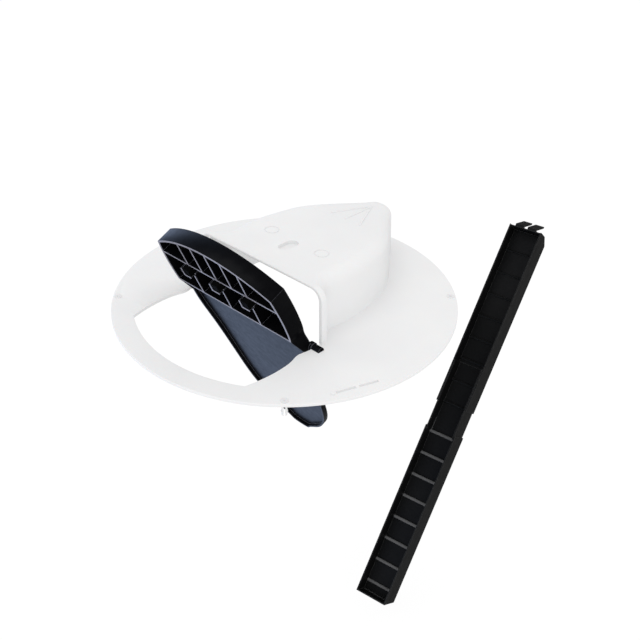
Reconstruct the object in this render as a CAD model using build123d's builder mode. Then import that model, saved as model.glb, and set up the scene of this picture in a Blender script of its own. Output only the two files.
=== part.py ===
"""Bucket lid with a tipping see-saw door under a covered tunnel, and its two-section ladder.

Frame: millimetres, +Z up, origin at the centre of the round lid on its top face.
+Y runs from the open entry hole towards the closed tip of the tunnel, +X to its right.
The door is drawn tipped open by door_tilt, and the ladder stands beside the lid, unhooked.
"""
import os
from math import cos, radians, sin, sqrt, tan

from build123d import *

os.makedirs("parts", exist_ok=True)

# ---- lid plate ------------------------------------------------------------------------
lid_radius = 158.0
lid_thickness = 2.6
locating_rib_radius = 142.6    # inner radius of the rib that drops inside the bucket mouth
locating_rib_wall = 1.9
locating_rib_depth = 6.0
rim_hole_circle = 0.968 * lid_radius
rim_hole_radius = 2.4
lid_edge_chamfer = 0.5

# ---- door pivot, and the entry hole that follows the door's outline -----------------------
pivot_y = -39.5
entry_front_radius = 138.1
hole_corner_x = 72.6
# half width and y of the entry hole's side, from its front corner to the pins
hole_stations = [
    (76.4, -96.0),
    (77.0, -82.0),
    (76.6, -74.0),
    (75.6, -67.5),
    (73.0, -56.5),
    (74.2, -49.5),
    (75.0, -44.5),
]

# ---- tunnel ---------------------------------------------------------------------------
tunnel_front_y = -32.5
tunnel_height = 51.7           # over the lid's centre
roof_fall = 1.35               # degrees, from the mouth down to the tip
tunnel_wall = 1.8
tunnel_draft = 4.1             # degrees
roof_edge_radius = 12.0
mouth_band_length = 6.4        # the wider band around the tunnel's mouth
mouth_band_half_width = 78.2
mouth_band_corner = 13.0
mouth_band_rounding = 1.2
mouth_half_width = 74.4        # of the opening itself
mouth_corner = 10.0
mouth_draft = 2.0              # degrees
mouth_lip = 1.9                # thickness of roof over the opening
flare_stations = [(76.0, -28.5), (69.0, -18.0), (63.0, -6.0)]
body_front_y = -26.0
body_half_width = 67.6
body_tip_y = 142.6
# half width and y of the tunnel's plan: throat, widest place, tip
tunnel_stations = [
    (64.8, body_front_y),
    (65.2, -7.0),
    (body_half_width, 16.0),
    (64.7, 45.0),
    (58.3, 72.0),
    (44.7, 96.0),
    (30.6, 114.0),
    (17.0, 131.5),
    (0.0, body_tip_y),
]

# ---- ladder slots in the lid ----------------------------------------------------------
ladder_slot_length = 17.4
ladder_slot_width = 2.6
ladder_slot_gap = 3.2
ladder_slot_radius = 147.0
ladder_slot_azimuth = -21.5    # degrees from +X: the ladder hooks on at the right-hand side
slot_pip_radius = 1.5          # low round pip on the plate, just past the end of one slot
slot_pip_height = 0.8
slot_pip_gap = 3.5
slot_pip_offset = -0.8

# ---- door -----------------------------------------------------------------------------
door_tilt = 66.0               # degrees open, from flush with the lid
door_thickness = 1.8
door_front_radius = 135.7      # about the lid's centre, with the door closed
pan_corner_x = 70.2
neck_half_width = 72.6
# half width and y of the closed door's side, from behind the front corner to the pins
pan_stations = [
    (73.3, -95.5),
    (73.7, -86.5),
    (73.5, -77.5),
    (72.4, -66.5),
    (70.8, -57.0),
    (72.2, -49.5),
    (neck_half_width, -44.5),
]
skirt_depth = 16.2             # from the door's top face to the free edge of skirt and ribs
skirt_wall = 1.8
cross_wall_y = -24.6
rib_wall = 1.4
rib_pitch = 18.4
transverse_rib_y = -63.0
step_y = 4.0                   # behind this the rear panel lies lower, to close under the lid
under_lid_gap = 0.9
door_tip_y = 141.2
# half width and y of the closed rear panel, from under the tunnel's mouth to its tip
rear_stations = [
    (70.8, -19.6),
    (66.4, -2.0),
    (60.4, 30.0),
    (55.2, 67.0),
    (51.5, 85.0),
    (43.5, 104.0),
    (29.4, 122.0),
    (13.0, 136.8),
    (0.0, door_tip_y),
]
rear_rim_depth = 9.1
cheek_foot_y = -1.5            # where the sloping cheek meets the rear panel's rim
pin_radius = 3.5
pin_clearance = 0.05
pin_end_x = 83.4
boss_radius = 4.3
boss_end_x = 74.7
weight_side = 8.0              # square section of each balance weight
weight_proud = 5.5             # how far it stands out past the ribs
weight_y = -58.0
weight_recess = 0.6            # how far the weight's end lies inside its holder
weight_chamfer = 0.5

# ---- ladder, in its own frame: x across, y up its length, z out of its climbing face ----
ladder_foot = (124.4, 21.8, -319.7)   # where the middle of its lowest rung stands
ladder_lean = 51.2                    # degrees above level
ladder_turn = 8.25                    # degrees from +Y towards -X
ladder_width = 34.6
ladder_wall = 1.2
wall_above_floor = 17.6
wall_below_floor = 10.8
lower_rung_radius = 1.6
upper_rung_radius = 1.1
lower_start_y = -12.0
lower_end_y = 180.0
lower_rung_count = 8
lower_rung_pitch = 24.96
neck_end_y = 254.0
neck_clearance = 0.15
neck_shoulder = 4.0            # length over which the full-width walls join the neck's
neck_first_rung_y = 209.6
upper_rung_pitch = 24.5
neck_rung_count = 2
upper_start_y = 208.0
floor_joint_gap = 0.15         # between the two sections' floors, with the ladder shut
upper_end_y = 405.0
upper_rung_count = 6
hook_spacing = 13.2
hook_width = 9.4
hook_thickness = 1.8
hook_reach = 10.5
hook_drop = 21.0
hook_root_height = 4.0         # of the hook where it joins the end wall
top_wall_setback = 2.5         # the upper end wall is this much lower than the side walls
corner_cut_length = 8.0        # of the side walls' lower corners at the top end
corner_cut_height = 1.6


# ======================================================================== shared outlines
roof_plane = Plane(
    origin=(0, 0, tunnel_height),
    x_dir=(1, 0, 0),
    z_dir=(0, sin(radians(roof_fall)), cos(radians(roof_fall))),
)


def roof_height(y):
    """Height of the tunnel's roof over one place along its middle."""
    return tunnel_height - y * tan(radians(roof_fall))


def tunnel_plan(level, inset):
    """The tunnel's bullet-shaped plan on one plane, drawn in by inset all round."""
    across = 1 - inset / body_half_width
    along = 1 - inset / body_tip_y
    points = [(x * across, y * along) for x, y in tunnel_stations]
    front_x, front_y = points[0]
    with BuildSketch(level) as plan:
        with BuildLine():
            Spline(*points, tangents=((0, 1), (-1, 0)))
            Line((front_x, front_y), (0, front_y))
            mirror(about=Plane.YZ)
        make_face()
    return plan.sketch


def arch(y, half_width, height, corner, draft, foot_z):
    """An upright arch square to the tunnel, from foot_z to height."""
    top_x = half_width - height * tan(radians(draft))
    with BuildSketch(Plane.XZ.offset(-y)) as profile:
        with BuildLine():
            Polyline((0, foot_z), (half_width, foot_z), (half_width, 0), (top_x, height), (0, height))
            mirror(about=Plane.YZ)
        make_face()
        fillet(profile.vertices().group_by(Axis.Y)[-1].filter_by(lambda v: abs(v.X) > 1), corner)
    return profile.sketch


def tunnel_solid(inset, foot_z):
    """The tunnel's body and its flare as a solid: the outside, or with an inset the hollow."""
    draft = (tunnel_height - inset) * tan(radians(tunnel_draft))
    corner = roof_edge_radius - inset
    foot_plan = tunnel_plan(Plane.XY, inset)
    roof_plan = tunnel_plan(roof_plane.offset(-inset), inset + draft)
    with BuildPart() as body:
        loft(sections=[foot_plan.face(), roof_plan.face()])
        roof = body.faces().sort_by(Axis.Z)[-1]
        fillet(roof.edges().filter_by(GeomType.BSPLINE), corner)
        extrude(foot_plan, amount=foot_z)
        flare = [
            arch(y, x - inset, roof_height(y) - inset, corner, tunnel_draft, foot_z)
            for x, y in flare_stations
        ]
        loft(sections=[section.face() for section in flare])
    return body.part


def mouth_band():
    """The band around the tunnel's mouth, solid across, with both its outer edges rounded."""
    with BuildPart() as band:
        extrude(
            arch(
                tunnel_front_y,
                mouth_band_half_width,
                roof_height(tunnel_front_y),
                mouth_band_corner,
                mouth_draft,
                -lid_thickness / 2,
            ),
            amount=-mouth_band_length,
        )
        rims = band.edges().group_by(Axis.Y)[0] + band.edges().group_by(Axis.Y)[-1]
        fillet(rims.filter_by(lambda e: e.center().Z > 0), mouth_band_rounding)
    return band.part


def side_stations(corner_x, front_radius, stations):
    """One side of the pan or of its hole, with the corner where it meets the round front."""
    return [(corner_x, -sqrt(front_radius**2 - corner_x**2))] + stations


# ==================================================================================== lid
slot_angle = radians(ladder_slot_azimuth)
slot_frame = Plane(
    origin=(ladder_slot_radius * cos(slot_angle), ladder_slot_radius * sin(slot_angle), 0),
    x_dir=(-sin(slot_angle), cos(slot_angle), 0),
    z_dir=(0, 0, 1),
)
slot_offset = (ladder_slot_length + ladder_slot_gap) / 2
bearing_inner_x = 78.0
bearing_outer_x = 85.8
bearing_length = bearing_outer_x - bearing_inner_x
bearing_mid_x = (bearing_inner_x + bearing_outer_x) / 2
bearing_width = 11.6
bearing_trough_depth = 6.0
pin_end_play = 0.3
through = 2 * lid_thickness            # depth of a cut that clears the plate
roof_slot_centre = (0, 5.0)
roof_slot_length = 21.5
roof_slot_width = 11.5
roof_slot_depth = 3.0
roof_ring_centres = [(-31.1, 15.2), (31.1, 15.2)]
roof_ring_radius = 7.0
roof_ring_width = 1.1
roof_ridge_apex = (0, 119.0)
roof_ridge_feet = [(-18.0, 81.0), (0, 81.0), (18.0, 81.0)]
roof_ridge_width = 1.5
roof_mark_height = 0.5         # of the ridges, and depth of the rings

hole_side = side_stations(hole_corner_x, entry_front_radius, hole_stations)
hole_corner_y = hole_side[0][1]
hole_half_width = hole_side[-1][0]
hole_rear_y = tunnel_front_y + 1

with BuildSketch(Plane.XY.offset(-through)) as entry_hole:
    with BuildLine():
        waisted_side = Spline(*hole_side)
        rear_side = Polyline(hole_side[-1], (hole_half_width, hole_rear_y), (0, hole_rear_y))
        mirror(waisted_side, about=Plane.YZ)
        mirror(rear_side, about=Plane.YZ)
        ThreePointArc(
            (-hole_corner_x, hole_corner_y),
            (0, -entry_front_radius),
            (hole_corner_x, hole_corner_y),
        )
    make_face()

with BuildPart() as lid:
    with BuildSketch(Plane.XY.offset(-lid_thickness)):
        Circle(lid_radius)
    extrude(amount=lid_thickness)
    chamfer(lid.edges().group_by(Axis.Z)[-1], lid_edge_chamfer)
    # outside of the tunnel: its body, and the band around its mouth
    add(tunnel_solid(0, -lid_thickness / 2))
    add(mouth_band())
    # rib that centres the lid in the bucket's mouth
    with BuildSketch(Plane.XY.offset(-lid_thickness)):
        Circle(locating_rib_radius + locating_rib_wall)
        Circle(locating_rib_radius, mode=Mode.SUBTRACT)
    extrude(amount=-locating_rib_depth)
    # troughs under the plate for the door's two pins
    with BuildSketch(Plane.XY.offset(-bearing_trough_depth)):
        with Locations((bearing_mid_x, pivot_y), (-bearing_mid_x, pivot_y)):
            Rectangle(bearing_length, bearing_width)
    extrude(amount=bearing_trough_depth - lid_thickness / 2)
    # hollow of the tunnel and of its mouth, and the entry hole in front
    add(tunnel_solid(tunnel_wall, -through), mode=Mode.SUBTRACT)
    extrude(
        arch(
            tunnel_front_y,
            mouth_half_width,
            roof_height(tunnel_front_y) - mouth_lip,
            mouth_corner,
            mouth_draft,
            -through,
        ),
        amount=-mouth_band_length,
        mode=Mode.SUBTRACT,
    )
    extrude(entry_hole.sketch, amount=through + lid_edge_chamfer, mode=Mode.SUBTRACT)
    # bores of the bearings: open towards the door and along their tops, blind at their ends
    for side_sign in (1, -1):
        with BuildSketch(Plane.YZ.offset(side_sign * (hole_half_width - 1))):
            with Locations((pivot_y, 0)):
                Circle(pin_radius + pin_clearance)
        extrude(amount=side_sign * (pin_end_x + pin_end_play - hole_half_width + 1), mode=Mode.SUBTRACT)
    # pair of slots that take the ladder's hooks, and the pip beside them
    with BuildSketch(slot_frame.offset(-through)):
        with Locations((-slot_offset, 0), (slot_offset, 0)):
            Rectangle(ladder_slot_length, ladder_slot_width)
    extrude(amount=2 * through, mode=Mode.SUBTRACT)
    with BuildSketch(slot_frame):
        with Locations((-slot_offset - ladder_slot_length / 2 - slot_pip_gap, slot_pip_offset)):
            Circle(slot_pip_radius)
    extrude(amount=slot_pip_height)
    # four holes in the rim
    with BuildSketch(Plane.XY.offset(-through)):
        with PolarLocations(rim_hole_circle, 4, start_angle=45):
            Circle(rim_hole_radius)
    extrude(amount=2 * through, mode=Mode.SUBTRACT)
    # roof: a sunk oblong pocket, two sunk rings, and three ridges that meet near the tip
    with BuildSketch(roof_plane.offset(-tunnel_wall / 2)):
        with Locations(roof_slot_centre):
            SlotOverall(roof_slot_length + 2 * tunnel_wall, roof_slot_width + 2 * tunnel_wall, rotation=90)
    extrude(amount=-roof_slot_depth)
    with BuildSketch(roof_plane):
        with Locations(roof_slot_centre):
            SlotOverall(roof_slot_length, roof_slot_width, rotation=90)
    extrude(amount=-roof_slot_depth, mode=Mode.SUBTRACT)
    with BuildSketch(roof_plane):
        with Locations(*roof_ring_centres):
            Circle(roof_ring_radius)
            Circle(roof_ring_radius - roof_ring_width, mode=Mode.SUBTRACT)
    extrude(amount=-roof_mark_height, mode=Mode.SUBTRACT)
    with BuildSketch(roof_plane.offset(-roof_mark_height)):
        for foot in roof_ridge_feet:
            SlotCenterPoint((Vector(foot) + Vector(roof_ridge_apex)) / 2, roof_ridge_apex, roof_ridge_width)
    extrude(amount=2 * roof_mark_height)
lid.part.label = "lid"
export_step(lid.part, "parts/lid.step")

# ============================================================================== rim clips
# Split pegs that push through the rim's holes and snap under the bucket's bead.
clip_length = 11.0
clip_bore_radius = 1.2
clip_slit = 1.4
clip_head_height = 0.5
clip_head_overhang = 1.0
clip_clearance = 0.03
clip_barb_start = 4.0          # from the tip up to the top of the barb
clip_barb_length = 3.0
clip_barb_overhang = 0.5
clip_barb_taper = 10.0         # degrees
clip_collar = 1.0              # unsplit length under the plate
clip_tip_z = -lid_thickness - clip_length


def clip_sketch(level, radius):
    """One circle on each of the four rim holes, at one height."""
    with BuildSketch(Plane.XY.offset(level)) as circles:
        with PolarLocations(rim_hole_circle, 4, start_angle=45):
            Circle(radius)
    return circles.sketch


with BuildPart() as rim_clips:
    extrude(clip_sketch(0, rim_hole_radius + clip_head_overhang), amount=clip_head_height)
    extrude(clip_sketch(0, rim_hole_radius - clip_clearance), amount=clip_tip_z)
    # barbs near the lower ends of the prongs
    barb = clip_sketch(clip_tip_z + clip_barb_start, rim_hole_radius + clip_barb_overhang)
    extrude(barb, amount=-clip_barb_length, taper=clip_barb_taper)
    bore = clip_sketch(clip_tip_z - 1, clip_bore_radius)
    extrude(bore, amount=clip_length + 2 * through, mode=Mode.SUBTRACT)
    with BuildSketch(Plane.XY.offset(-lid_thickness - clip_collar)):
        with PolarLocations(rim_hole_circle, 4, start_angle=45):
            Rectangle(3 * rim_hole_radius, clip_slit)
    extrude(amount=-clip_length, mode=Mode.SUBTRACT)
rim_clips.part.label = "rim_clips"
export_step(rim_clips.part, "parts/rim_clips.step")

# =================================================================================== door
# Drawn flat in door_frame: x runs along the pivot, y to the rear, z out of the top face.
tilt = radians(door_tilt)
door_frame = Plane(origin=(0, pivot_y, 0), x_dir=(1, 0, 0), z_dir=(0, sin(tilt), cos(tilt)))
lid_centre_y = -pivot_y                # the lid's centre, seen from the pivot
front_apex_y = lid_centre_y - door_front_radius
rear_apex_y = lid_centre_y + door_tip_y
rear_drop = lid_thickness + under_lid_gap


def door_outline(inset):
    """The whole door: the waisted front pan, and the long bullet that reaches under the tunnel."""
    across = 1 - inset / neck_half_width
    along = 1 - inset / door_tip_y
    stations = [(x - inset, y) for x, y in pan_stations]
    front = side_stations(pan_corner_x - inset, door_front_radius - inset, stations)
    front = [(x, y + lid_centre_y) for x, y in front]
    rear = [(neck_half_width - inset, step_y)]
    rear += [(x * across, y * along + lid_centre_y) for x, y in rear_stations]
    corner_x, corner_y = front[0]
    with BuildSketch() as outline:
        with BuildLine():
            sides = [Spline(*front), Line(front[-1], rear[0]), Spline(*rear, tangents=((0, 1), (-1, 0)))]
            for side in sides:
                mirror(side, about=Plane.YZ)
            ThreePointArc((-corner_x, corner_y), (0, front_apex_y + inset), (corner_x, corner_y))
        make_face()
    return outline.sketch


def strip(start_y, end_y):
    """A strip across the whole door, between two places along it."""
    return Pos(0, (start_y + end_y) / 2) * Rectangle(3 * neck_half_width, end_y - start_y)


def on_door(sketch, depth=0.0):
    """A flat sketch carried into the door's frame, depth below the top face."""
    return door_frame.offset(-depth) * sketch


weight_xs = (-2 * rib_pitch, 0.0, 2 * rib_pitch)
upper_rib_xs = [i * rib_pitch for i in range(-2, 3)]
weight_places = [(x, weight_y) for x in weight_xs]

with BuildSketch() as rib_plan:
    with Locations((0, cross_wall_y - rib_wall / 2), (0, transverse_rib_y)):
        Rectangle(2 * neck_half_width, rib_wall)
    with Locations(*[(x, (cross_wall_y + transverse_rib_y) / 2) for x in weight_xs]):
        Rectangle(rib_wall, cross_wall_y - transverse_rib_y)
    with Locations(*[(x, (front_apex_y + transverse_rib_y) / 2) for x in upper_rib_xs]):
        Rectangle(rib_wall, transverse_rib_y - front_apex_y)
    add(door_outline(skirt_wall / 2), mode=Mode.INTERSECT)

# an L of wall on two sides of each balance weight
with BuildSketch() as weight_holders:
    with Locations(*[(x - rib_wall / 2, weight_y + rib_wall / 2) for x in weight_xs]):
        Rectangle(weight_side + rib_wall, weight_side + rib_wall)

with BuildSketch() as weight_plan:
    with Locations(*weight_places):
        Rectangle(weight_side, weight_side)


def cheek_plane(x):
    """An upright plane across the pivot: its x axis is the door's y, its y axis the door's z."""
    origin = door_frame.from_local_coords((x, 0, 0))
    return Plane(origin=origin, x_dir=door_frame.y_dir, z_dir=door_frame.x_dir)


front_hollow = door_outline(skirt_wall) & strip(front_apex_y, step_y - skirt_wall)
rear_hollow = door_outline(skirt_wall) & strip(step_y - skirt_wall, rear_apex_y)
behind_step = strip(step_y, rear_apex_y + 1)

with BuildPart() as door:
    extrude(on_door(door_outline(0)), amount=-skirt_depth)
    # hollow under the front pan, and under the rear panel, which lies lower behind a step
    extrude(on_door(front_hollow, door_thickness), amount=-skirt_depth, mode=Mode.SUBTRACT)
    extrude(on_door(rear_hollow, rear_drop + door_thickness), amount=-skirt_depth, mode=Mode.SUBTRACT)
    extrude(on_door(behind_step), amount=-rear_drop, mode=Mode.SUBTRACT)
    # free edge: full depth round the pan, sloping up along the cheeks to the rear panel's rim
    with BuildSketch(cheek_plane(0)):
        with BuildLine():
            Polyline(
                (cross_wall_y, -skirt_depth - 1),
                (cross_wall_y, -skirt_depth),
                (cheek_foot_y, -rear_rim_depth),
                (rear_apex_y + 1, -rear_rim_depth),
                (rear_apex_y + 1, -skirt_depth - 1),
                close=True,
            )
        make_face()
    extrude(amount=2 * neck_half_width, both=True, mode=Mode.SUBTRACT)
    # ribs inside the pan, and the holders with a square pocket for each balance weight
    extrude(on_door(rib_plan.sketch), amount=-skirt_depth)
    extrude(on_door(weight_holders.sketch), amount=-skirt_depth - weight_proud)
    extrude(on_door(weight_plan.sketch, door_thickness), amount=-2 * skirt_depth, mode=Mode.SUBTRACT)
    # pins, each with a boss at its root
    for side_sign in (1, -1):
        for radius, end_x in ((boss_radius, boss_end_x), (pin_radius, pin_end_x)):
            with BuildSketch(cheek_plane(side_sign * (neck_half_width - skirt_wall))):
                Circle(radius)
            extrude(amount=side_sign * (end_x - neck_half_width + skirt_wall))
door.part.label = "door"
export_step(door.part, "parts/door.step")

# ======================================================================= balance weights
for place, name in zip(weight_places, ("left", "middle", "right")):
    with BuildPart() as balance_weight:
        with BuildSketch(door_frame.offset(-door_thickness)):
            with Locations(place):
                Rectangle(weight_side, weight_side)
        extrude(amount=door_thickness - skirt_depth - weight_proud + weight_recess)
        long_edges = balance_weight.edges().filter_by(Axis(door_frame.origin, door_frame.z_dir))
        chamfer(long_edges, weight_chamfer)
    balance_weight.part.label = f"balance_weight_{name}"
    export_step(balance_weight.part, f"parts/balance_weight_{name}.step")

# ================================================================================= ladder
turn = radians(ladder_turn)
lean = radians(ladder_lean)
ladder_frame = Plane(
    origin=ladder_foot,
    x_dir=(cos(turn), sin(turn), 0),
    z_dir=(sin(turn) * sin(lean), -cos(turn) * sin(lean), cos(lean)),
)
neck_width = ladder_width - 2 * (ladder_wall + neck_clearance)


def across_ladder(y):
    """A plane square to the ladder at y, seen from its foot: x across, y out of the climbing face."""
    return Plane(
        origin=ladder_frame.from_local_coords((0, y, 0)), x_dir=ladder_frame.x_dir, z_dir=-ladder_frame.y_dir
    )


def beside_ladder(x):
    """A plane along the ladder at x: its x axis runs up the ladder, its y out of the climbing face."""
    return Plane(
        origin=ladder_frame.from_local_coords((x, 0, 0)), x_dir=ladder_frame.y_dir, z_dir=ladder_frame.x_dir
    )


def side_walls(start_y, end_y, width, thickness=ladder_wall, below=wall_below_floor):
    """The two side walls of a length of ladder."""
    with BuildPart() as walls:
        with BuildSketch(across_ladder(start_y)):
            with GridLocations(width - thickness, 0, 2, 1), Locations((0, (wall_above_floor - below) / 2)):
                Rectangle(thickness, wall_above_floor + below)
        extrude(amount=start_y - end_y)
    return walls.part


def floor(start_y, end_y, width, drop=0.0):
    """The floor between the side walls, or with a drop a second one below it."""
    with BuildPart() as sheet:
        with BuildSketch(across_ladder(start_y)):
            with Locations((0, -ladder_wall / 2 - drop)):
                Rectangle(width, ladder_wall)
        extrude(amount=start_y - end_y)
    return sheet.part


def rungs(first_y, pitch, count, width, radius):
    """Round rungs lying on the floor, a little sunk in it."""
    with BuildPart() as bars:
        with BuildSketch(beside_ladder(0)):
            with Locations(*[(first_y + i * pitch, 0.7 * radius) for i in range(count)]):
                Circle(radius)
        extrude(amount=width / 2 - 0.5, both=True)
    return bars.part


def end_wall(start_y, height):
    """A wall across the ladder's end, from under the floor up to height."""
    with BuildPart() as wall:
        with BuildSketch(across_ladder(start_y)):
            with Locations((0, (height - ladder_wall) / 2)):
                Rectangle(ladder_width, height + ladder_wall)
        extrude(amount=-ladder_wall)
    return wall.part


with BuildPart() as ladder_lower:
    add(side_walls(lower_start_y, lower_end_y, ladder_width))
    add(floor(lower_start_y, lower_end_y, ladder_width))
    add(end_wall(lower_start_y, wall_above_floor))
    add(rungs(0, lower_rung_pitch, lower_rung_count, ladder_width, lower_rung_radius))
    # narrower neck, which slides inside the upper section
    shoulder_y = lower_end_y - neck_shoulder
    shoulder_wall = (ladder_width - neck_width) / 2 + ladder_wall
    add(side_walls(shoulder_y, lower_end_y, ladder_width, shoulder_wall))
    add(side_walls(shoulder_y, upper_start_y - floor_joint_gap, neck_width))
    add(side_walls(upper_start_y - 1, neck_end_y, neck_width, below=ladder_wall))
    add(floor(shoulder_y, neck_end_y, neck_width))
    add(rungs(neck_first_rung_y, upper_rung_pitch, neck_rung_count, neck_width, upper_rung_radius))
ladder_lower.part.label = "ladder_lower"
export_step(ladder_lower.part, "parts/ladder_lower.step")

with BuildPart() as ladder_upper:
    add(side_walls(upper_start_y, upper_end_y, ladder_width))
    add(floor(neck_end_y + floor_joint_gap, upper_end_y, ladder_width))
    add(floor(upper_start_y, neck_end_y + neck_shoulder, ladder_width, drop=ladder_wall + neck_clearance))
    add(end_wall(upper_end_y - ladder_wall, wall_above_floor - top_wall_setback))
    first_rung_y = neck_first_rung_y + neck_rung_count * upper_rung_pitch
    add(rungs(first_rung_y, upper_rung_pitch, upper_rung_count, ladder_width, upper_rung_radius))
    # lower corners of the side walls cut back at the top end
    with BuildSketch(beside_ladder(0)):
        with BuildLine():
            Polyline(
                (upper_end_y - corner_cut_length, -wall_below_floor - 1),
                (upper_end_y + 1, -wall_below_floor - 1),
                (upper_end_y + 1, corner_cut_height),
                (upper_end_y, corner_cut_height),
                close=True,
            )
        make_face()
    extrude(amount=ladder_width, both=True, mode=Mode.SUBTRACT)
    # two hooks that reach over the lid and drop into its slots
    with BuildSketch(beside_ladder(-hook_spacing / 2), beside_ladder(hook_spacing / 2)):
        with BuildLine():
            Polyline(
                (upper_end_y - ladder_wall, wall_above_floor),
                (upper_end_y + 2, wall_above_floor),
                (upper_end_y + hook_reach, wall_above_floor - hook_drop),
                (upper_end_y + hook_reach - hook_thickness, wall_above_floor - hook_drop),
                (upper_end_y + 0.8, wall_above_floor - hook_thickness),
                (upper_end_y, wall_above_floor - hook_root_height),
                (upper_end_y - ladder_wall, wall_above_floor - hook_root_height),
                close=True,
            )
        make_face()
    extrude(amount=hook_width / 2, both=True)
ladder_upper.part.label = "ladder_upper"
export_step(ladder_upper.part, "parts/ladder_upper.step")
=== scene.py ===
"""Looks of the bucket lid with its tipping door and ladder: moulded plastics, white studio, camera.

Lengths are in metres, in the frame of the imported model: origin at the centre of the lid's top face,
+Y towards the tip of the tunnel, +X to its right, +Z up. Angles are in degrees, colours are linear.
"""
from math import cos, radians, sin

import bmesh
import bpy
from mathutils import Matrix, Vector


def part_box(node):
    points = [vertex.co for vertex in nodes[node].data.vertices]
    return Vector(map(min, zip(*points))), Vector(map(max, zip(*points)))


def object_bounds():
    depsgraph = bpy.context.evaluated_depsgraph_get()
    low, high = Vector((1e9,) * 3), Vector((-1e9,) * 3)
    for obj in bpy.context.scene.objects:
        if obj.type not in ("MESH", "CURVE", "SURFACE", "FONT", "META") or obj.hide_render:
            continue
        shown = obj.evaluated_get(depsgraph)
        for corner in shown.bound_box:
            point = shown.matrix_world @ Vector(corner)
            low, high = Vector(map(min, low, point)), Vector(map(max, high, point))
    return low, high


MM = 0.001

# ---- camera: where it stands, in lid radii from the lid's centre, and how its view is shifted
CAMERA_IN_RADII = Vector((3.111, -3.114, 2.770))
CAMERA_AZIMUTH = 45.0
CAMERA_ELEVATION = 37.23
CAMERA_LENS_MM = 50.0
CAMERA_SENSOR_MM = 36.0
CAMERA_SHIFT = (0.0563, 0.0859)
CAMERA_RANGE = (0.01, 100.0)

# ---- colours of the white lid and its clips
WHITE_PLASTIC = (0.443, 0.443, 0.443)    # about half of its white is a painted glow: the lid emits light though it is no lamp
WHITE_SHADE = (0.43, 0.43, 0.433)
# painted highlight on the edges of the lid and the clips
WHITE_EDGE_HIGHLIGHT = (0.47, 0.47, 0.47)
WHITE_PAINTED_SHADE = (0.385, 0.385, 0.388)    # painted shade, deep in hollows and inside corners, where less light gets in
CLIP_SHADE = (0.41, 0.41, 0.415)

# ---- colours of the black door, its weights and the ladder
BLACK_PLASTIC = (0.0022, 0.0022, 0.0028)
BLACK_SHADE = (0.003, 0.003, 0.0038)
# painted highlight on the door's edges
BLACK_EDGE_HIGHLIGHT = (0.21, 0.215, 0.25)
# painted highlight on the free edges of the door's ribs and weight holders
RIB_EDGE_HIGHLIGHT = (0.25, 0.25, 0.30)
STEEL_BLACK = (0.002, 0.002, 0.002)
STEEL_SHADE = (0.004, 0.004, 0.004)
# painted highlight on the weights' edges
STEEL_EDGE_HIGHLIGHT = (0.02, 0.02, 0.02)
LADDER_BLACK = (0.0055, 0.0055, 0.0055)
LADDER_SHADE = (0.008, 0.008, 0.008)
# painted highlight on the ladder's edges
LADDER_EDGE_HIGHLIGHT = (0.09, 0.09, 0.09)
# painted highlight on the rungs of the lower section
RUNG_HIGHLIGHT = (0.11, 0.11, 0.113)
UNLIT = (0.0, 0.0, 0.0)

# ---- surface of the moulded plastics: scales in features per metre, ranges of noise that are used
CLOUD_SCALE = 14.0
CLOUD_RANGE = (0.35, 0.65)
HANDLING_SCALE = 160.0
HANDLING_RANGE = (0.3, 0.7)
ROUGHNESS_SPREAD = (-0.05, 0.07)
EDGE_RANGE = (0.02, 0.25)
GRAIN_SCALE = 2600.0
GRAIN_DEPTH = 0.05 * MM
GRAIN_STRENGTH = 0.12
SHADED_EDGE_RADIUS = 0.5 * MM
TRANSLUCENT_DEPTH = 2.0 * MM

# ---- clean-up and rounding of the CAD meshes
WELD_DISTANCE = 0.002 * MM
FLAT_ANGLE = 0.5
CREASE_ANGLE = 32.0
LID_BEVEL = 0.3 * MM
CLIP_BEVEL = 0.15 * MM
BLACK_BEVEL = 0.2 * MM                   # of the door, its weights and the ladder

# ---- ladder: its foot, its lean and turn, and the band just above its floor where the rungs get a painted highlight
LADDER_FOOT = Vector((124.4, 21.8, -319.7)) * MM
LADDER_LEAN = 51.2
LADDER_TURN = 8.25
RUNG_BAND_HEIGHTS = (0.5 * MM, 3.0 * MM)
RUNG_BAND_HALF_WIDTH = 15.6 * MM
RUNG_BAND_LENGTH = 190.0 * MM

# ---- door: its pivot and tilt, and how deep the free edges of its ribs and weight holders lie, which get a painted highlight
PIVOT = Vector((0.0, -39.5, 0.0)) * MM
DOOR_TILT = 66.0
FREE_EDGE_DEPTHS = (16.2 * MM, 21.7 * MM)
FREE_EDGE_BAND = 0.35 * MM

# ---- floor: this far under the ladder's foot, so that the lower section can slide out above it
FLOOR_DROP = 30.0 * MM
FLOOR_RADIUS = 12.0
FLOOR_WHITE = (0.97, 0.97, 0.97)
FLOOR_MOTTLE = (0.9, 0.9, 0.9)
MOTTLE_SCALE = 3.0
MOTTLE_RANGE = (0.3, 0.7)
MOTTLE_SHARE = 0.02
FLOOR_GLOW = 1.05
FLOOR_GLOW_SHARE = 0.85

# ---- world, and what glossy surfaces see of it: cool on the left, plain on the right, dim above
WORLD_WHITE = (1.02, 1.02, 1.02)
REFLECTED_LEFT = (0.75, 0.95, 1.40)
REFLECTED_RIGHT = (0.25, 0.25, 0.25)
COOL_SIDE = (-0.45, 0.1)                 # how far to the right it is all cool, and not cool any more
DIM_HEIGHT = 0.6                         # how far up it has dimmed as much as it does
DIMMING = 0.85

# ---- softboxes: name, azimuth from the front, elevation, watts
SOFTBOXES = [("key", -20.0, 55.0, 4.0), ("fill", 60.0, 25.0, 3.0)]
SOFTBOX_DISTANCE = 1.6
SOFTBOX_SIZE = 1.2


# =========================================================================== node helpers
def new_material(name):
    """An empty node material and its tree."""
    material = bpy.data.materials.new(name)
    material.use_nodes = True
    tree = material.node_tree
    tree.nodes.clear()
    return material, tree


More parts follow.
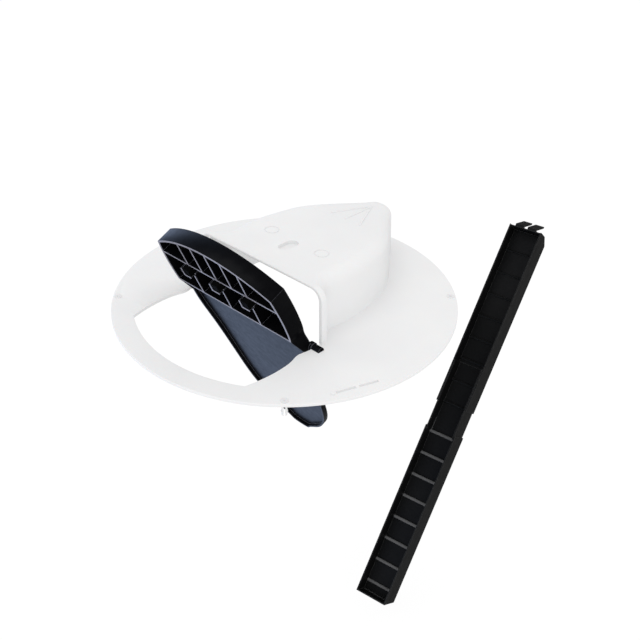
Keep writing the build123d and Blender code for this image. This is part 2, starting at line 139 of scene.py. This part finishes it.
def add_node(tree, kind, settings=None, **inputs):
    """A node with its settings and inputs.

    An input's key is its name with _ for each space, or i and its place, as in i0.
    A value that is a socket is linked.
    """
    node = tree.nodes.new(kind)
    for key, value in (settings or {}).items():
        setattr(node, key, value)
    for key, value in inputs.items():
        by_place = key[0] == "i" and key[1:].isdigit()
        socket = node.inputs[int(key[1:]) if by_place else key.replace("_", " ")]
        if isinstance(value, bpy.types.NodeSocket):
            tree.links.new(value, socket)
        else:
            socket.default_value = value
    return node


def math_node(tree, operation, *values):
    """The output of a math node on up to three numbers or sockets."""
    inputs = {f"i{place}": value for place, value in enumerate(values)}
    return add_node(tree, "ShaderNodeMath", {"operation": operation}, **inputs).outputs[0]


def dot_product(tree, first, second):
    """The dot product of two vectors, as a number."""
    node = add_node(tree, "ShaderNodeVectorMath", {"operation": "DOT_PRODUCT"}, i0=first, i1=second)
    return node.outputs["Value"]


def remap(tree, value, low, high, new_low, new_high):
    """value, taken from low..high to new_low..new_high and held within them."""
    node = add_node(tree, "ShaderNodeMapRange", None, i0=value, i1=low, i2=high, i3=new_low, i4=new_high)
    return node.outputs[0]


def mix_colours(tree, share, first, second):
    """first where share is 0, second where it is 1."""
    node = add_node(tree, "ShaderNodeMix", {"data_type": "RGBA"}, i0=share)
    for socket, value in ((node.inputs[6], first), (node.inputs[7], second)):
        if isinstance(value, bpy.types.NodeSocket):
            tree.links.new(value, socket)
        else:
            socket.default_value = (*value, 1.0)
    return node.outputs[2]


def noise(tree, position, scale, detail=3.0, roughness=0.55):
    """A noise texture's 0..1 output; scale is in features per metre."""
    node = add_node(
        tree, "ShaderNodeTexNoise", None, Vector=position, Scale=scale, Detail=detail, Roughness=roughness
    )
    return node.outputs["Fac"]


def object_position(tree):
    """Where a shaded point lies in its object's frame."""
    return add_node(tree, "ShaderNodeTexCoord").outputs["Object"]


def softened_normal(tree, radius):
    """The surface's normal, with its edges rounded by radius."""
    return add_node(tree, "ShaderNodeBevel", {"samples": 6}, Radius=radius).outputs[0]


def is_glossy_ray(tree):
    """1 for what is seen in a glossy reflection, 0 for the rest."""
    return add_node(tree, "ShaderNodeLightPath").outputs["Is Glossy Ray"]


# ================================================================= masks of painted highlight and shade
def edge_highlight_mask(tree, radius):
    """0 on flats, towards 1 on the outward and inward edges of a piece, where painted highlights go."""
    normal = add_node(tree, "ShaderNodeNewGeometry").outputs["Normal"]
    closeness = dot_product(tree, softened_normal(tree, radius), normal)
    return math_node(tree, "SUBTRACT", 1.0, closeness)


def painted_shade_mask(tree, reach):
    """0 on open faces, towards 1 in the piece's own hollows and inside corners, where painted shade goes.
    """
    settings = {"samples": 8, "only_local": True}
    openness = add_node(tree, "ShaderNodeAmbientOcclusion", settings, Distance=reach).outputs["AO"]
    return math_node(tree, "SUBTRACT", 1.0, openness)


def distance_along(tree, position, origin, direction):
    """How far a point lies from origin, along direction."""
    offset = add_node(tree, "ShaderNodeVectorMath", {"operation": "SUBTRACT"}, i0=position, i1=origin)
    return dot_product(tree, offset.outputs[0], direction)


def rung_highlight_mask(tree, position):
    """1 on the rungs, which stand in a thin band above the ladder's floor and get a painted highlight,
    and 0 elsewhere.
    """
    lean = radians(LADDER_LEAN)
    turn = radians(LADDER_TURN)
    out_of_face = (sin(turn) * sin(lean), -cos(turn) * sin(lean), cos(lean))
    up_its_length = (-sin(turn) * cos(lean), cos(turn) * cos(lean), sin(lean))
    across = (cos(turn), sin(turn), 0.0)
    height = distance_along(tree, position, LADDER_FOOT, out_of_face)
    along = distance_along(tree, position, LADDER_FOOT, up_its_length)
    sideways = math_node(tree, "ABSOLUTE", distance_along(tree, position, LADDER_FOOT, across))
    low, high = RUNG_BAND_HEIGHTS
    mask = remap(tree, height, low, 2 * low, 0.0, 1.0)
    for value, limit in ((height, high), (along, RUNG_BAND_LENGTH), (sideways, RUNG_BAND_HALF_WIDTH)):
        mask = math_node(tree, "MULTIPLY", mask, math_node(tree, "LESS_THAN", value, limit))
    return mask


def rib_edge_highlight_mask(tree, position):
    """1 on the free edges of the door's ribs and weight holders, which get a painted highlight, and 0
    elsewhere.
    """
    tilt = radians(DOOR_TILT)
    depth = distance_along(tree, position, PIVOT, (0.0, -sin(tilt), -cos(tilt)))
    masks = []
    for level in FREE_EDGE_DEPTHS:
        away = math_node(tree, "ABSOLUTE", math_node(tree, "SUBTRACT", depth, level))
        masks.append(math_node(tree, "LESS_THAN", away, FREE_EDGE_BAND))
    return math_node(tree, "MAXIMUM", *masks)


# ============================================================================== materials
def moulded_plastic(
    name,
    colour,
    shade,
    edge_highlight,
    roughness,
    specular,
    edge_radius,
    edge_highlight_share,
    translucency=0.0,
    glow=0.0,
    dim_in_gloss=0.0,
    painted_shade_reach=0.0,
    painted_shade=None,
    painted_highlight_mask=None,
    painted_highlight=None,
):
    """Moulded plastic with a fine spark-eroded grain.

    colour clouds over into shade, and on edges narrower than edge_radius turns, as far as its share says,
    to a painted edge highlight. Hollows within its reach get painted shade, a mask puts a painted
    highlight where it is 1, and glow is a painted glow, emitted though the plastic is no lamp.
    """
    material, tree = new_material(name)
    position = object_position(tree)
    clouds = noise(tree, position, CLOUD_SCALE)
    grain = noise(tree, position, GRAIN_SCALE, detail=2.0)
    handling = noise(tree, position, HANDLING_SCALE, detail=6.0, roughness=0.7)
    tone = mix_colours(tree, remap(tree, clouds, *CLOUD_RANGE, 0.0, 1.0), colour, shade)
    # painted highlight on edges
    edges = remap(tree, edge_highlight_mask(tree, edge_radius), *EDGE_RANGE, 0.0, edge_highlight_share)
    tone = mix_colours(tree, edges, tone, edge_highlight)
    # painted shade in hollows and inside corners, from ambient occlusion
    if painted_shade_reach:
        tone = mix_colours(tree, painted_shade_mask(tree, painted_shade_reach), tone, painted_shade)
    if dim_in_gloss:
        dimming = math_node(tree, "MULTIPLY", is_glossy_ray(tree), dim_in_gloss)
        tone = mix_colours(tree, dimming, tone, UNLIT)
    # painted highlight where the mask is 1
    if painted_highlight_mask:
        tone = mix_colours(tree, painted_highlight_mask(tree, position), tone, painted_highlight)
    smoothest, roughest = [roughness + change for change in ROUGHNESS_SPREAD]
    bump = add_node(
        tree,
        "ShaderNodeBump",
        None,
        Strength=GRAIN_STRENGTH,
        Distance=GRAIN_DEPTH,
        Height=grain,
        Normal=softened_normal(tree, SHADED_EDGE_RADIUS),
    )
    surface = add_node(
        tree,
        "ShaderNodeBsdfPrincipled",
        None,
        Base_Color=tone,
        Roughness=remap(tree, handling, *HANDLING_RANGE, smoothest, roughest),
        Specular_IOR_Level=specular,
        Subsurface_Weight=translucency,
        Subsurface_Scale=TRANSLUCENT_DEPTH,
        # the emission is a painted glow, as if the plastic were a lamp
        Emission_Color=tone,
        Emission_Strength=glow,
        Normal=bump.outputs[0],
    )
    add_node(tree, "ShaderNodeOutputMaterial", None, Surface=surface.outputs[0])
    return material


def white_plastic():
    """The lid: satin white, with a painted glow, softly darker in its corners from painted shade, with
    painted edge highlights.
    """
    return moulded_plastic(
        "white_satin_plastic",
        colour=WHITE_PLASTIC,
        shade=WHITE_SHADE,
        edge_highlight=WHITE_EDGE_HIGHLIGHT,
        roughness=0.42,
        specular=0.3,
        edge_radius=0.8 * MM,
        edge_highlight_share=0.6,
        translucency=0.08,
        glow=0.88,
        dim_in_gloss=0.9,
        painted_shade_reach=22.0 * MM,
        painted_shade=WHITE_PAINTED_SHADE,
    )


def clip_plastic():
    """The rim clips: a slightly greyer, smoother white, with a painted glow and painted edge highlights.
    """
    return moulded_plastic(
        "clip_plastic",
        colour=WHITE_SHADE,
        shade=CLIP_SHADE,
        edge_highlight=WHITE_EDGE_HIGHLIGHT,
        roughness=0.38,
        specular=0.3,
        edge_radius=0.4 * MM,
        edge_highlight_share=0.5,
        translucency=0.1,
        glow=0.8,
    )


def door_plastic():
    """The door: satin black, with painted highlights along its edges and along the free edges of its
    ribs.
    """
    return moulded_plastic(
        "black_satin_plastic",
        colour=BLACK_PLASTIC,
        shade=BLACK_SHADE,
        edge_highlight=BLACK_EDGE_HIGHLIGHT,
        roughness=0.32,
        specular=0.12,
        edge_radius=0.8 * MM,
        edge_highlight_share=0.7,
        painted_highlight_mask=rib_edge_highlight_mask,
        painted_highlight=RIB_EDGE_HIGHLIGHT,
    )


def coated_steel():
    """The balance weights: a dull black coat, with the same clouding and grain as the plastics, and
    painted edge highlights.
    """
    return moulded_plastic(
        "coated_steel",
        colour=STEEL_BLACK,
        shade=STEEL_SHADE,
        edge_highlight=STEEL_EDGE_HIGHLIGHT,
        roughness=0.75,
        specular=0.02,
        edge_radius=0.5 * MM,
        edge_highlight_share=0.5,
    )


def ladder_plastic(name, painted_highlight_mask=None, painted_highlight=None):
    """The ladder's sections: matt black, with painted highlights on edges and where the highlight mask
    says.
    """
    return moulded_plastic(
        name,
        colour=LADDER_BLACK,
        shade=LADDER_SHADE,
        edge_highlight=LADDER_EDGE_HIGHLIGHT,
        roughness=0.5,
        specular=0.12,
        edge_radius=0.8 * MM,
        edge_highlight_share=0.6,
        painted_highlight_mask=painted_highlight_mask,
        painted_highlight=painted_highlight,
    )


def floor_material():
    """Pale floor, bright enough to run into the backdrop."""
    material, tree = new_material("pale_floor")
    mottle = noise(tree, object_position(tree), MOTTLE_SCALE)
    share = remap(tree, mottle, *MOTTLE_RANGE, 0.0, MOTTLE_SHARE)
    tone = mix_colours(tree, share, FLOOR_WHITE, FLOOR_MOTTLE)
    lit = add_node(tree, "ShaderNodeBsdfDiffuse", None, Color=tone)
    glow = add_node(tree, "ShaderNodeEmission", None, Color=tone, Strength=FLOOR_GLOW)
    surface = add_node(
        tree, "ShaderNodeMixShader", None, i0=FLOOR_GLOW_SHARE, i1=lit.outputs[0], i2=glow.outputs[0]
    )
    add_node(tree, "ShaderNodeOutputMaterial", None, Surface=surface.outputs[0])
    return material


def dress(node, material, bevel_width):
    """Gives a CAD node its material, and breaks its sharp edges by bevel_width."""
    node.data.materials.clear()
    node.data.materials.append(material)
    weld = node.modifiers.new("weld", "WELD")
    weld.merge_threshold = WELD_DISTANCE
    planar = node.modifiers.new("planar", "DECIMATE")
    planar.decimate_type = "DISSOLVE"
    planar.angle_limit = radians(FLAT_ANGLE)
    bevel = node.modifiers.new("bevel", "BEVEL")
    bevel.width = bevel_width
    bevel.segments = 2
    bevel.limit_method = "ANGLE"
    bevel.angle_limit = radians(CREASE_ANGLE)
    bevel.use_clamp_overlap = True
    bevel.harden_normals = True


# ================================================================================= studio
def studio_world():
    """White all round; in glossy reflections it is cool on the left and dim above."""
    world = bpy.data.worlds.new("studio")
    bpy.context.scene.world = world
    world.use_nodes = True
    tree = world.node_tree
    tree.nodes.clear()
    direction = add_node(tree, "ShaderNodeTexCoord").outputs["Generated"]
    to_right = (cos(radians(CAMERA_AZIMUTH)), sin(radians(CAMERA_AZIMUTH)), 0.0)
    height = add_node(tree, "ShaderNodeSeparateXYZ", None, i0=direction).outputs["Z"]
    rightness = remap(tree, dot_product(tree, direction, to_right), *COOL_SIDE, 0.0, 1.0)
    reflected = mix_colours(tree, rightness, REFLECTED_LEFT, REFLECTED_RIGHT)
    reflected = mix_colours(tree, remap(tree, height, 0.0, DIM_HEIGHT, 0.0, DIMMING), reflected, UNLIT)
    seen = mix_colours(tree, is_glossy_ray(tree), WORLD_WHITE, reflected)
    background = add_node(tree, "ShaderNodeBackground", None, Color=seen, Strength=1.0)
    add_node(tree, "ShaderNodeOutputWorld", None, Surface=background.outputs[0])


def look_from(thing, azimuth, elevation):
    """Turns a camera or lamp to look back from one direction; gives the unit vector in that direction."""
    a = radians(azimuth)
    e = radians(elevation)
    outward = Vector((sin(a) * cos(e), -cos(a) * cos(e), sin(e)))
    thing.rotation_mode = "QUATERNION"
    thing.rotation_quaternion = (-outward).to_track_quat("-Z", "Y")
    return outward


def softbox(name, azimuth, elevation, power):
    """A square area light that looks at the lid."""
    light = bpy.data.lights.new(name, "AREA")
    light.size = SOFTBOX_SIZE
    light.energy = power
    lamp = bpy.data.objects.new(name, light)
    lamp.location = look_from(lamp, azimuth, elevation) * SOFTBOX_DISTANCE
    bpy.context.scene.collection.objects.link(lamp)


def pale_floor(level):
    """A large round floor under everything."""
    mesh = bpy.data.meshes.new("floor")
    shape = bmesh.new()
    bmesh.ops.create_circle(shape, cap_ends=True, segments=96, radius=FLOOR_RADIUS)
    bmesh.ops.translate(shape, verts=shape.verts, vec=(0, 0, level))
    shape.to_mesh(mesh)
    shape.free()
    floor = bpy.data.objects.new("floor", mesh)
    bpy.context.scene.collection.objects.link(floor)
    floor.data.materials.append(floor_material())
    floor.visible_glossy = False


def studio_camera(lid_radius):
    """The camera stands in front, to the right of and above the lid, its view shifted, not turned."""
    data = bpy.data.cameras.new("camera")
    data.lens = CAMERA_LENS_MM
    data.sensor_width = CAMERA_SENSOR_MM
    data.shift_x, data.shift_y = CAMERA_SHIFT
    data.clip_start, data.clip_end = CAMERA_RANGE
    camera = bpy.data.objects.new("camera", data)
    camera.location = CAMERA_IN_RADII * lid_radius
    look_from(camera, CAMERA_AZIMUTH, CAMERA_ELEVATION)
    bpy.context.scene.collection.objects.link(camera)
    bpy.context.scene.camera = camera


# ================================================================================== scene
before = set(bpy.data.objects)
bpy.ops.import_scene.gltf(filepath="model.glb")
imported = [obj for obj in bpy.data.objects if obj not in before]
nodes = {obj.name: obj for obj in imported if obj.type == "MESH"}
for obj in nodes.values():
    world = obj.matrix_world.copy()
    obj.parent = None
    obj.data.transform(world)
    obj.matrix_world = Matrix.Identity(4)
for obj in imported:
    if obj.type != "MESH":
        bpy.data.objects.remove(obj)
cad_low, cad_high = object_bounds()
lid_low, lid_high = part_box("lid")

dress(nodes["lid"], white_plastic(), LID_BEVEL)
dress(nodes["rim_clips"], clip_plastic(), CLIP_BEVEL)
dress(nodes["door"], door_plastic(), BLACK_BEVEL)
weight_material = coated_steel()
for side in ("left", "middle", "right"):
    dress(nodes[f"balance_weight_{side}"], weight_material, BLACK_BEVEL)
dress(nodes["ladder_upper"], ladder_plastic("black_matt_plastic"), BLACK_BEVEL)
# the lower section's rungs get a painted highlight
rung_highlit = ladder_plastic("rung_highlit_black_matt_plastic", painted_highlight_mask=rung_highlight_mask, painted_highlight=RUNG_HIGHLIGHT)
dress(nodes["ladder_lower"], rung_highlit, BLACK_BEVEL)

pale_floor(cad_low.z - FLOOR_DROP)
studio_world()
for name, azimuth, elevation, power in SOFTBOXES:
    softbox(name, azimuth, elevation, power)
studio_camera((lid_high.x - lid_low.x) / 2)
bpy.context.scene.view_settings.view_transform = "Standard"
